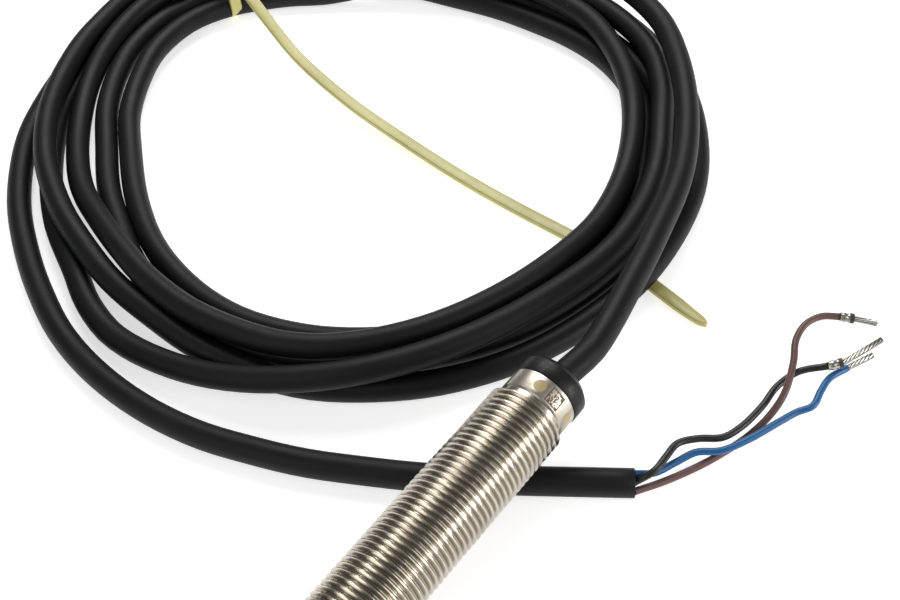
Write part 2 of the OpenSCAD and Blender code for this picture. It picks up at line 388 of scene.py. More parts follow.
class Slot(NamedFinish):
    """The finishes of the record's material slots."""

    nickel_barrel = Nickel("nickel_barrel_finish", (0.60, 0.55, 0.47), (0.44, 0.40, 0.33),
                           (0.26, 0.40), 900.0, 0.25, 1.0)
    nut_metal = Nickel("nut_metal_finish", (0.60, 0.56, 0.49), (0.46, 0.42, 0.36),
                       (0.2, 0.38), 900.0, 0.3, 1.0)
    washer_metal = Nickel("washer_metal_finish", (0.52, 0.51, 0.49), (0.38, 0.37, 0.36),
                          (0.25, 0.42), 1200.0, 0.3, 1.0)
    ferrule_metal = Nickel("ferrule_metal_finish", (0.46, 0.44, 0.40), (0.30, 0.28, 0.25),
                           (0.22, 0.42), 1500.0, 0.3, 1.0, ring=(1.0, 0.3, 0.3))
    tinned_strands = Nickel("tinned_strand_finish", (0.42, 0.40, 0.36), (0.27, 0.25, 0.22),
                            (0.2, 0.36), 1500.0, 0.3, 1.0, ring=(1.0, 0.3, 0.3))
    copper_wire = Nickel("copper_wire_finish", (0.80, 0.36, 0.17), (0.62, 0.25, 0.10),
                         (0.2, 0.35), 1500.0, 0.3, 1.0)
    cable_jacket = Jacket("cable_jacket_finish", (0.0045, 0.0047, 0.0058), (0.008, 0.0082, 0.0098),
                          (0.46, 0.60), 2600.0, 0.18, shine=0.24)
    cap_plastic = Finish("cap_plastic_finish", (0.006, 0.0058, 0.0056), (0.010, 0.0096, 0.009),
                         (0.34, 0.5), 1600.0, 0.12, shine=0.25)
    grommet_rubber = Finish("grommet_rubber_finish", (0.010, 0.010, 0.010), (0.016, 0.016, 0.016),
                            (0.6, 0.75), 1400.0, 0.2)
    seal_rubber = Finish("seal_rubber_finish", (0.012, 0.012, 0.013), (0.020, 0.020, 0.020),
                         (0.6, 0.75), 1400.0, 0.2)
    face_plastic = Finish("face_plastic_finish", (0.016, 0.016, 0.017), (0.026, 0.026, 0.027),
                          (0.42, 0.56), 2000.0, 0.2)
    window_plastic = Finish("window_plastic_finish", (0.50, 0.38, 0.16), (0.36, 0.27, 0.12),
                            (0.28, 0.42), 900.0, 0.15, coat=0.3)
    insulation_blue = Finish("insulation_blue_finish", (0.003, 0.095, 0.27), (0.004, 0.115, 0.31),
                             (0.32, 0.46), 1500.0, 0.15)
    insulation_black = Finish("insulation_black_finish", (0.007, 0.007, 0.007),
                              (0.012, 0.012, 0.012), (0.34, 0.5), 1500.0, 0.15)
    insulation_brown = Finish("insulation_brown_finish", (0.105, 0.052, 0.045),
                              (0.14, 0.07, 0.06), (0.36, 0.5), 1500.0, 0.15)
    lead_insulation = Finish("lead_insulation_finish", (0.05, 0.16, 0.5), (0.07, 0.2, 0.55),
                             (0.35, 0.5), 1500.0, 0.15)
    tie_nylon = Finish("tie_nylon_finish", (0.56, 0.52, 0.18), (0.47, 0.43, 0.13),
                       (0.30, 0.44), 900.0, 0.2, coat=0.1)
    ferrite = Finish("ferrite_finish", (0.045, 0.044, 0.046), (0.07, 0.07, 0.07),
                     (0.5, 0.7), 2500.0, 0.3)
    bobbin_plastic = Finish("bobbin_plastic_finish", (0.72, 0.70, 0.62), (0.64, 0.61, 0.52),
                            (0.35, 0.5), 1500.0, 0.12)
    carrier_plastic = Finish("carrier_plastic_finish", (0.20, 0.20, 0.21), (0.26, 0.26, 0.27),
                             (0.45, 0.6), 1500.0, 0.12)
    circuit_board = Finish("circuit_board_finish", (0.012, 0.12, 0.045), (0.02, 0.17, 0.06),
                           (0.3, 0.45), 2500.0, 0.15)
    chip_plastic = Finish("chip_plastic_finish", (0.015, 0.015, 0.016), (0.03, 0.03, 0.03),
                          (0.45, 0.6), 3000.0, 0.2)
    capacitor_body = Finish("capacitor_body_finish", (0.40, 0.26, 0.13), (0.48, 0.33, 0.18),
                            (0.3, 0.45), 2500.0, 0.1)
    resistor_body = Finish("resistor_body_finish", (0.02, 0.02, 0.02), (0.05, 0.05, 0.05),
                           (0.35, 0.5), 2500.0, 0.1)
    led_lens = Finish("led_lens_finish", (0.8, 0.62, 0.1), (0.85, 0.7, 0.2),
                      (0.15, 0.25), 2000.0, 0.05, through=0.3)
    resin = Finish("resin_finish", (0.03, 0.035, 0.036), (0.05, 0.055, 0.057),
                   (0.2, 0.35), 600.0, 0.1)


class ExtraFinish(NamedFinish):
    """Finishes of small marks that have no slot of their own."""

    etched = Finish("etched_mark_finish", (0.12, 0.085, 0.055), (0.20, 0.15, 0.10),
                    (0.5, 0.65), 2500.0, 0.2)
    thread_nickel = Threaded("thread_nickel_finish", (0.62, 0.57, 0.49), (0.46, 0.42, 0.35),
                             (0.18, 0.30), 900.0, 0.2, 1.0)
    ferrule_band = Finish("ferrule_band_finish", (0.03, 0.027, 0.024), (0.06, 0.05, 0.045),
                          (0.45, 0.6), 1500.0, 0.15)
    floor = Finish("floor_finish", (0.86, 0.86, 0.86), (0.88, 0.88, 0.88),
                   (0.7, 0.8), 40.0, 0.02, shine=0.1, glow=0.62)


# ---------------------------------------------------------------- meshes

def mesh_object(name: str, verts: Sequence[Sequence[float]], faces: Sequence[Sequence[int]],
                finish: NamedFinish, crease: float = 40.0) -> bpy.types.Object:
    """Make a mesh object at the origin.

    Args:
        name: the piece's name.
        verts: corners, in metres in the row frame.
        faces: corner numbers of each face.
        finish: its finish.
        crease: edges sharper than this many degrees stay sharp.

    Returns:
        The object, linked to the scene.
    """
    mesh = bpy.data.meshes.new(name)
    mesh.from_pydata([tuple(map(float, v)) for v in verts], [], [tuple(f) for f in faces])
    mesh.materials.append(finish.material)
    return show(name, mesh, crease)


def show(name: str, mesh: bpy.types.Mesh, crease: float) -> bpy.types.Object:
    """Tidy a mesh and link it to the scene.

    Args:
        name: the piece's name.
        mesh: its mesh, in metres in the row frame.
        crease: edges sharper than this many degrees stay sharp.

    Returns:
        The object, at the origin.
    """
    tidy_mesh(mesh, crease)
    made = bpy.data.objects.new(name, mesh)
    bpy.context.scene.collection.objects.link(made)
    return made


def applied(holder: bpy.types.Object, modifier: bpy.types.Modifier) -> bpy.types.Mesh:
    """Take the mesh that an object's modifier makes, and remove the modifier.

    Args:
        holder: the object.
        modifier: its only modifier.

    Returns:
        The result, as a mesh of its own.
    """
    view = bpy.context.evaluated_depsgraph_get()
    mesh = bpy.data.meshes.new_from_object(holder.evaluated_get(view), depsgraph=view)
    holder.modifiers.remove(modifier)
    return mesh


def tidy_mesh(mesh: bpy.types.Mesh, crease: float) -> None:
    """Merge doubles, turn the normals outwards and smooth all but sharp edges.

    Args:
        mesh: the mesh, changed in place.
        crease: edges sharper than this many degrees stay sharp.
    """
    work = bmesh.new()
    work.from_mesh(mesh)
    bmesh.ops.remove_doubles(work, verts=work.verts, dist=1e-7)
    bmesh.ops.dissolve_degenerate(work, edges=work.edges, dist=1e-8)
    bmesh.ops.recalc_face_normals(work, faces=work.faces)
    for face in work.faces:
        face.smooth = True
    limit = math.radians(crease)
    for edge in work.edges:
        edge.smooth = len(edge.link_faces) == 2 and edge.calc_face_angle(0.0) < limit
    work.to_mesh(mesh)
    work.free()


def ring_faces(rings: int, sides: int, closed: bool = False) -> List[Tuple[int, ...]]:
    """Faces between successive rings of points.

    Args:
        rings: number of rings.
        sides: points in each ring.
        closed: join the last ring to the first; else both ends are capped.

    Returns:
        The faces.
    """
    faces: List[Tuple[int, ...]] = []
    for i in range(rings if closed else rings - 1):
        a, b = i * sides, ((i + 1) % rings) * sides
        faces += [(a + k, a + (k + 1) % sides, b + (k + 1) % sides, b + k) for k in range(sides)]
    if not closed:
        faces.append(tuple(range(sides))[::-1])
        faces.append(tuple((rings - 1) * sides + k for k in range(sides)))
    return faces


def smooth_path(knots: Sequence[Sequence[float]], step: float) -> np.ndarray:
    """Centripetal spline through knots, resampled evenly.

    Args:
        knots: points to pass through.
        step: distance between samples.

    Returns:
        Samples, one row each.
    """
    p = np.array(knots, float)
    p = np.vstack([2 * p[0] - p[1], p, 2 * p[-1] - p[-2]])
    fine: List[np.ndarray] = []
    for i in range(1, len(p) - 2):
        quad = p[i - 1:i + 3]
        steps = np.sqrt(np.linalg.norm(np.diff(quad, axis=0), axis=1))
        t = np.concatenate([[0.0], np.cumsum(steps)])
        u = np.linspace(t[1], t[2], SPLINE_STEPS, endpoint=False)[:, None]
        lower = [((t[j + 1] - u) * quad[j] + (u - t[j]) * quad[j + 1]) / (t[j + 1] - t[j])
                 for j in range(3)]
        middle = [((t[j + 2] - u) * lower[j] + (u - t[j]) * lower[j + 1]) / (t[j + 2] - t[j])
                  for j in range(2)]
        fine.append(((t[2] - u) * middle[0] + (u - t[1]) * middle[1]) / (t[2] - t[1]))
    line = np.vstack(fine + [p[-2][None]])
    return resample(line, step)


def resample(line: np.ndarray, step: float) -> np.ndarray:
    """Space points evenly along a line.

    Args:
        line: the points to follow, one row each.
        step: about how far apart the new points are.

    Returns:
        The new points, with both ends kept.
    """
    reached = np.concatenate([[0.0], np.cumsum(np.linalg.norm(np.diff(line, axis=0), axis=1))])
    stations = np.linspace(0.0, reached[-1], max(2, int(round(reached[-1] / step)) + 1))
    return np.stack([np.interp(stations, reached, line[:, k]) for k in range(3)], axis=1)


def frames_along(path: np.ndarray) -> Tuple[np.ndarray, np.ndarray, np.ndarray]:
    """Find the directions at each point of a path.

    Args:
        path: the points, one row each.

    Returns:
        The tangents, and two normals that turn with the path without twisting.
    """
    tangent = np.gradient(path, axis=0)
    tangent /= np.linalg.norm(tangent, axis=1)[:, None]
    side = np.zeros_like(path)
    start = np.cross(tangent[0], (0.0, 0.0, 1.0))
    side[0] = start / np.linalg.norm(start)
    for i in range(1, len(path)):
        moved = side[i - 1] - tangent[i] * (side[i - 1] @ tangent[i])
        side[i] = moved / np.linalg.norm(moved)
    return tangent, side, np.cross(tangent, side)


def tube(name: str, path: np.ndarray, radii: Union[float, Sequence[float]], sides: int,
         finish: NamedFinish, crease: float = 50.0,
         tip: Sequence[Tuple[float, float]] = ()) -> bpy.types.Object:
    """Make a closed round tube.

    Args:
        name: the piece's name.
        path: centreline, in metres.
        radii: one radius, or one for each point.
        sides: points round the tube.
        finish: its finish.
        crease: edges sharper than this many degrees stay sharp.
        tip: extra rings past the far end, as (distance forward, radius).

    Returns:
        The piece.
    """
    tangent, side, rise = frames_along(path)
    radius = np.broadcast_to(np.asarray(radii, float), (len(path),))
    if len(tip):
        extra = np.array(tip, float)
        path = np.vstack([path, path[-1] + extra[:, :1] * tangent[-1]])
        side, rise = (np.vstack([v, np.repeat(v[-1:], len(tip), axis=0)]) for v in (side, rise))
        radius = np.concatenate([radius, extra[:, 1]])
    turn = np.linspace(0.0, math.tau, sides, endpoint=False)[None, :, None]
    rings = path[:, None] + radius[:, None, None] * (
        np.cos(turn) * side[:, None] + np.sin(turn) * rise[:, None])
    return mesh_object(name, rings.reshape(-1, 3), ring_faces(len(path), sides), finish, crease)


@dataclass(frozen=True)
class BarrelFrame:
    """Where the barrel lies, in millimetres: its own +z runs from the sensing face to the cable."""

    length: float = 65.0
    tilt: float = math.radians(2.2)
    nut_flats: float = 17.0
    nut_at: float = 1.5
    shift: float = 0.02

    @property
    def matrix(self) -> Matrix:
        """Place the barrel.

        Returns:
            The matrix from barrel millimetres to metres in the row frame.
        """
        lift = self.nut_flats / 2 * math.cos(self.tilt) - self.nut_at * math.sin(self.tilt)
        back = -self.length / 2 * math.cos(self.tilt) + self.shift
        return (Matrix.Scale(MM, 4) @ Matrix.Translation((0.0, back, lift))
                @ Matrix.Rotation(self.tilt - math.pi / 2, 4, "X"))

    def lay(self, points: Sequence[Sequence[float]]) -> List[Vector]:
        """Move barrel points to the row frame."""
        place = self.matrix
        return [place @ Vector(p) for p in points]

    def axis_point(self, station: float) -> Vector:
        """Return the point of the axis at that distance from the sensing face, in metres."""
        return self.matrix @ Vector((0.0, 0.0, station))

    def lathe(self, name: str, profile: Sequence[Tuple[float, float]], sides: int,
              finish: NamedFinish, crease: float = 30.0) -> bpy.types.Object:
        """Turn a closed profile of (radius, station) about the barrel's axis.

        Args:
            name: the piece's name.
            profile: corners in order, in millimetres.
            sides: points round the axis.
            finish: its finish.
            crease: edges sharper than this many degrees stay sharp.

        Returns:
            The piece.
        """
        points = [(r * math.cos(a), r * math.sin(a), s) for r, s in profile
                  for a in (math.tau * k / sides for k in range(sides))]
        return mesh_object(name, self.lay(points), ring_faces(len(profile), sides, True),
                           finish, crease)


LAID = BarrelFrame()


# ---------------------------------------------------------------- camera, floor and light

@dataclass(frozen=True)
class Lamp:
    """One square soft light. Its places are in millimetres, its side in metres."""

    name: str
    place: Point
    side: float
    watts: float
    aim: Point = (-30.0, 40.0, 5.0)

    def build(self) -> None:
        """Add the light, turned towards the coil."""
        data = bpy.data.lights.new(self.name, "AREA")
        data.size, data.energy = self.side, self.watts
        lamp = bpy.data.objects.new(self.name, data)
        lamp.location = Vector(self.place) * MM
        towards = Vector(self.aim) * MM - lamp.location
        lamp.rotation_euler = towards.to_track_quat("-Z", "Y").to_euler()
        bpy.context.scene.collection.objects.link(lamp)


@dataclass(frozen=True)
class Studio:
    """Camera, floor, soft lights and pale world. Places are in millimetres."""

    eye: Point = (63.43, -55.98, 150.36)
    look: Point = (-0.4577, 0.4880, -0.7432)
    roll: float = math.radians(-5.96)
    lens: float = 48.84
    film: float = 36.0
    seen_from: float = 0.005
    seen_to: float = 20.0
    floor_half: float = 1500.0
    world_light: float = 0.2
    lamps: Tuple[Lamp, ...] = (
        Lamp("key_light", (-260, 330, 420), 0.34, 2.0),
        Lamp("side_light", (420, 190, 130), 0.11, 0.8),
        Lamp("fill_light", (380, 60, 320), 0.30, 0.4),
        Lamp("front_light", (-80, -420, 360), 0.40, 0.7))

    def camera(self) -> None:
        """Make the camera."""
        camera = bpy.data.cameras.new("camera")
        camera.lens, camera.sensor_width = self.lens, self.film
        camera.clip_start, camera.clip_end = self.seen_from, self.seen_to
        holder = bpy.data.objects.new("camera", camera)
        turn = Vector(self.look).to_track_quat("-Z", "Y").to_matrix().to_4x4()
        holder.matrix_world = (Matrix.Translation(Vector(self.eye) * MM) @ turn
                               @ Matrix.Rotation(self.roll, 4, "Z"))
        bpy.context.scene.collection.objects.link(holder)
        bpy.context.scene.camera = holder

    def floor(self) -> None:
        """Make the floor, which isn't part of the object."""
        half = self.floor_half * MM
        mesh_object("floor", [(-half, -half, 0), (half, -half, 0), (half, half, 0),
                                       (-half, half, 0)], [(0, 1, 2, 3)], ExtraFinish.floor)

    def world(self) -> None:
        """Make the pale world and its plain view."""
        world = bpy.data.worlds.new("pale_room")
        world.use_nodes = True
        background = world.node_tree.nodes["Background"].inputs
        background["Color"].default_value = WHITE
        background["Strength"].default_value = self.world_light
        bpy.context.scene.world = world
        bpy.context.scene.view_settings.view_transform = "Standard"

    def build(self) -> None:
        """Make the camera, the floor, the lights and the world."""
        self.camera()
        self.floor()
        for lamp in self.lamps:
            lamp.build()
        self.world()


# ---------------------------------------------------------------- geometry node helpers

TreeBuilder = Callable[[Graph, Dict[str, Socket]], Socket]


def grow(name: str, build: TreeBuilder, sizes: Dict[str, float], finish: NamedFinish,
         place: Matrix, crease: float = 40.0) -> bpy.types.Object:
    """Run a Geometry Nodes tree once and keep its result as a plain mesh.

    Args:
        name: the piece's name.
        build: takes (graph, inputs by name) and returns the geometry socket.
        sizes: the tree's named inputs and their values; whole numbers make integer inputs.
        finish: the finish that Set Material gives.
        place: moves the result to the row frame.
        crease: edges sharper than this many degrees stay sharp.

    Returns:
        The finished piece.
    """
    tree = bpy.data.node_groups.new(name + "_tree", "GeometryNodeTree")
    tree.interface.new_socket("Geometry", in_out="OUTPUT", socket_type="NodeSocketGeometry")
    for key, value in sizes.items():
        kind = "NodeSocketInt" if isinstance(value, int) else "NodeSocketFloat"
        tree.interface.new_socket(key, in_out="INPUT", socket_type=kind)
    graph = Graph(tree)
    entry = graph.node("NodeGroupInput")
    inputs = {key: Socket(graph, entry.outputs[key]) for key in sizes}
    real = graph.add("GeometryNodeRealizeInstances", None, {0: build(graph, inputs)})
    dressed = graph.add("GeometryNodeSetMaterial", None, {0: real, "Material": finish.material})
    graph.node("NodeGroupOutput", None, {"Geometry": dressed})
    carrier = bpy.data.objects.new(name + "_carrier", bpy.data.meshes.new(name + "_carrier"))
    bpy.context.scene.collection.objects.link(carrier)
    modifier = carrier.modifiers.new("grow", "NODES")
    modifier.node_group = tree
    for item in tree.interface.items_tree:
        if item.in_out == "INPUT":
            modifier[item.identifier] = sizes[item.name]
    mesh = applied(carrier, modifier)
    bpy.data.objects.remove(carrier)
    mesh.transform(place)
    mesh.name = name
    return show(name, mesh, crease)


def looked_up(graph: Graph, share: Socket, values: np.ndarray, marks: int = 24) -> Socket:
    """Read evenly spaced values along a share from 0 to 1, with a Float Curve.

    Args:
        graph: the tree's nodes.
        share: how far along the values, from 0 to 1.
        values: the values.
        marks: number of points of the curve.

    Returns:
        The value at that share.
    """
    low, high = float(values.min()), float(values.max())
    places = np.linspace(0.0, 1.0, marks)
    read = np.interp(places * (len(values) - 1), np.arange(len(values)), values)
    curve = graph.node("ShaderNodeFloatCurve", None, {"Value": share})
    held = curve.mapping.curves[0]
    while len(held.points) < marks:
        held.points.new(0.5, 0.5)
    for point, place, level in zip(held.points, places, (read - low) / (high - low)):
        point.location = (float(place), float(level))
    curve.mapping.update()
    return Socket(graph, curve.outputs[0]) * (high - low) + low


def along(start: Sequence[float], end: Sequence[float]) -> Matrix:
    """Lay millimetres along a line.

    Args:
        start: where their origin goes, in millimetres.
        end: the point that +Z runs towards, in millimetres.

    Returns:
        The matrix, to metres in the row frame.
    """
    a, b = Vector(start), Vector(end)
    turn = (b - a).to_track_quat("Z", "Y").to_matrix().to_4x4()
    return Matrix.Scale(MM, 4) @ Matrix.Translation(a) @ turn


def attach(piece: bpy.types.Object, slot_name: str, *nodes: str,
           body: str = "sensor") -> bpy.types.Object:
    """Ride a piece on a body and hide the CAD nodes that it stands for.

    Args:
        piece: the finished piece.
        slot_name: the record's material slot; not used.
        nodes: CAD nodes that it replaces.
        body: the CAD body that it moves with.

    Returns:
        The piece.
    """
    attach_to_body(piece, body)
    if nodes:
        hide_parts(*nodes)
    LOG.info("%s: %d faces", piece.name, len(piece.data.polygons))
    return piece


# ---------------------------------------------------------------- the barrel

@dataclass
class Barrel:
    """Threaded tube, smooth collar with its windows and etched square, and end cap.

    Sizes are in barrel millimetres and turns in degrees. The root_flat and the flank are shares
    of half a turn of the thread, lead_in and run_out are how fast its ends rise, and window_cut
    holds the distances from the axis that a window's cutter runs through.
    """

    crest: float = 5.97
    root: float = 5.38
    pitch: float = 1.0
    root_flat: float = 0.2
    flank: float = 0.65
    lead_in: float = 1.2
    run_out: float = 3.0
    thread_end: float = 57.4
    rows_a_turn: int = 16
    sides: int = 80
    bore: float = 4.9
    neck: float = 5.15
    collar_start: float = 58.0
    collar_end: float = 61.5
    collar_r: float = 5.3
    window_r: float = 0.95
    window_at: float = 59.8
    window_turn: float = 9.0
    window_count: int = 5
    window_cut: Tuple[float, ...] = (4.2, 5.0, 6.2)
    cap_r: float = 5.45
    cap_end: float = 65.0
    mark_turn: float = 40.0
    mark_cells: int = 12
    mark_size: float = 2.5
    mark_start: float = 58.5
    mark_share: float = 0.42
    mark_seed: int = 7
    mark_gap: float = 0.02
    mark_lift: Tuple[float, float] = (-0.02, 0.012)

    def thread(self) -> bpy.types.Object:
        """Make the threaded tube, closed through its bore.

        Returns:
            The piece.
        """
        turns = int(self.thread_end / self.pitch) + 2
        rows = turns * self.rows_a_turn + 1

        def build(graph: Graph, size: Dict[str, Socket]) -> Socket:
            """Bend a flat grid into the helical surface.

            Args:
                graph: the tree's nodes.
                size: its inputs by name.

            Returns:
                The thread, open at both ends.
            """
            sheet = graph.node("GeometryNodeMeshGrid", None, {
                "Size X": 1.0, "Size Y": 1.0, "Vertices X": rows,
                "Vertices Y": self.sides + 1})
            at = graph.node("ShaderNodeSeparateXYZ", None, {
                0: graph.add("GeometryNodeInputPosition")})
            u = Socket(graph, at.outputs[0]) + 0.5
            v = Socket(graph, at.outputs[1]) + 0.5
            phase = u * float(turns)
            wave = (phase.math("FRACT") - 0.5).math("ABSOLUTE") * 2.0
            height = ((wave - self.root_flat) / self.flank).math("ADD", 0.0, clamp=True)
            station = ((phase + v - 1.0) * size["Pitch"]).math("MAXIMUM", 0.0).math(
                "MINIMUM", size["Length"])
            radius = size["Root"] + (size["Crest"] - size["Root"]) * height
            radius = radius.math("MINIMUM", size["Root"] + station * self.lead_in)
            radius = radius.math("MINIMUM",
                                 size["Neck"] + (size["Length"] - station) * self.run_out)
            turn = v * math.tau
            place = graph.add("ShaderNodeCombineXYZ", None, {
                0: radius * turn.math("COSINE"), 1: radius * turn.math("SINE"), 2: station})
            bent = graph.add("GeometryNodeSetPosition", None, {
                "Geometry": Socket(graph, sheet.outputs[0]), "Position": place})
            return graph.add("GeometryNodeMergeByDistance", None, {
                "Geometry": bent, "Distance": 0.001})

        piece = grow("threaded_barrel", build, {
            "Crest": self.crest, "Root": self.root, "Pitch": self.pitch,
            "Length": self.thread_end, "Neck": self.neck}, ExtraFinish.thread_nickel,
            Matrix.Identity(4), crease=34.0)
        self.close_bore(piece.data)
        piece.data.transform(LAID.matrix)
        tidy_mesh(piece.data, 34.0)
        return piece

    def close_bore(self, mesh: bpy.types.Mesh) -> None:
        """Carry both open rims inwards to the bore and join them.

        Args:
            mesh: the thread in barrel millimetres, changed in place.
        """
        far_stops = ((self.neck, self.collar_start), (self.bore, self.collar_start))
        work = bmesh.new()
        work.from_mesh(mesh)
        bmesh.ops.remove_doubles(work, verts=work.verts, dist=1e-4)
        rims = [[e for e in work.edges if e.is_boundary and test(e.verts[0].co.z)]
                for test in (lambda z: z < 1.0, lambda z: z > 1.0)]
        ends = []
        for rim, stops in zip(rims, (((self.bore, 0.0),), far_stops)):
            for radius, station in stops:
                new = bmesh.ops.extrude_edge_only(work, edges=rim)["geom"]
                rim = [g for g in new if isinstance(g, bmesh.types.BMEdge) and g.is_boundary]
                for vert in {v for e in rim for v in e.verts}:
                    flat = Vector((vert.co.x, vert.co.y)).normalized() * radius
                    vert.co = (flat.x, flat.y, station)
            ends += rim
        bmesh.ops.bridge_loops(work, edges=ends)
        work.to_mesh(mesh)
        work.free()

    def collar(self) -> bpy.types.Object:
        """Make the smooth collar and cut its window holes.

        Returns:
            The piece.
        """
        a, b, r = self.collar_start, self.collar_end, self.collar_r
        profile = [(self.bore, a), (r - 0.32, a), (r - 0.24, a + 0.03), (r - 0.03, a + 0.26),
                   (r, a + 0.34), (r, b - 0.08), (r - 0.06, b), (self.bore, b)]
        piece = LAID.lathe("barrel_collar", profile, 128, Slot.nickel_barrel, crease=24.0)
        for k in range(self.window_count):
            turn = math.radians(self.window_turn - 90 + 360 * k / self.window_count)
            out = Vector((math.cos(turn), math.sin(turn), 0.0))
            centre = Vector((0.0, 0.0, self.window_at))
            ends = np.array([LAID.matrix @ (centre + out * d) for d in self.window_cut], float)
            cutter = tube("cutter", ends, self.window_r * MM, 40, Slot.nickel_barrel)
            hole = piece.modifiers.new("hole", "BOOLEAN")
            hole.operation, hole.object, hole.solver = "DIFFERENCE", cutter, "EXACT"
            piece.data = applied(piece, hole)
            bpy.data.objects.remove(cutter)
        tidy_mesh(piece.data, 24.0)
        return piece

    def cell_corners(self, i: int, j: int) -> List[Point]:
        """Find the corners of one etched cell, in barrel millimetres.

        Args:
            i: its place round the collar.
            j: its place along the collar.

        Returns:
            The four corners under the surface, then the four above it.
        """
        cell = self.mark_size / self.mark_cells
        low, high = self.mark_gap, 1 - self.mark_gap
        corners = []
        for lift in self.mark_lift:
            r = self.collar_r + lift
            for di, dj in ((low, low), (high, low), (high, high), (low, high)):
                around = math.radians(self.mark_turn - 90) + (
                    (i + di) * cell - self.mark_size / 2) / self.collar_r
                corners.append((r * math.cos(around), r * math.sin(around),
                                self.mark_start + (j + dj) * cell))
        return corners

    def etched_square(self) -> bpy.types.Object:
        """Make a generic square of small etched cells on the collar.

        Returns:
            The piece.
        """
        rng = np.random.default_rng(self.mark_seed)
        rim = (0, self.mark_cells - 1)
        verts: List[Vector] = []
        faces: List[Tuple[int, ...]] = []
        for i in range(self.mark_cells):
            for j in range(self.mark_cells):
                if i in rim or j in rim or rng.random() < self.mark_share:
                    faces += [tuple(len(verts) + n for n in face) for face in BOX_FACES]
                    verts += LAID.lay(self.cell_corners(i, j))
        return mesh_object("etched_square", verts, faces, ExtraFinish.etched, 20.0)

    def cap(self) -> bpy.types.Object:
        """Make the black end cap with its softened bevel.

        Returns:
            The piece.
        """
        r, a, b = self.cap_r, self.collar_end, self.cap_end
        profile = [(2.75, 58.4), (3.9, 58.4), (4.0, 58.5), (4.0, a), (r - 0.15, a),
                   (r - 0.04, a + 0.04), (r, a + 0.15), (r, b - 1.12), (r - 0.04, b - 1.0),
                   (r - 0.12, b - 0.88),
                   (r - 0.88, b - 0.12), (r - 1.0, b - 0.04), (r - 1.12, b), (2.5, b),
                   (2.36, b - 0.05), (2.3, b - 0.16), (2.3, b - 0.4), (2.75, b - 0.4)]
        return LAID.lathe("cable_cap", profile, 96, Slot.cap_plastic, crease=50.0)

    def build(self) -> None:
        """Build and attach the barrel's pieces."""
        attach(self.thread(), "nickel_barrel", "barrel")
        attach(self.collar(), "nickel_barrel", "barrel")
        attach(self.etched_square(), "nickel_barrel")
        attach(self.cap(), "cap_plastic", "end_cap")


# ---------------------------------------------------------------- the cut end

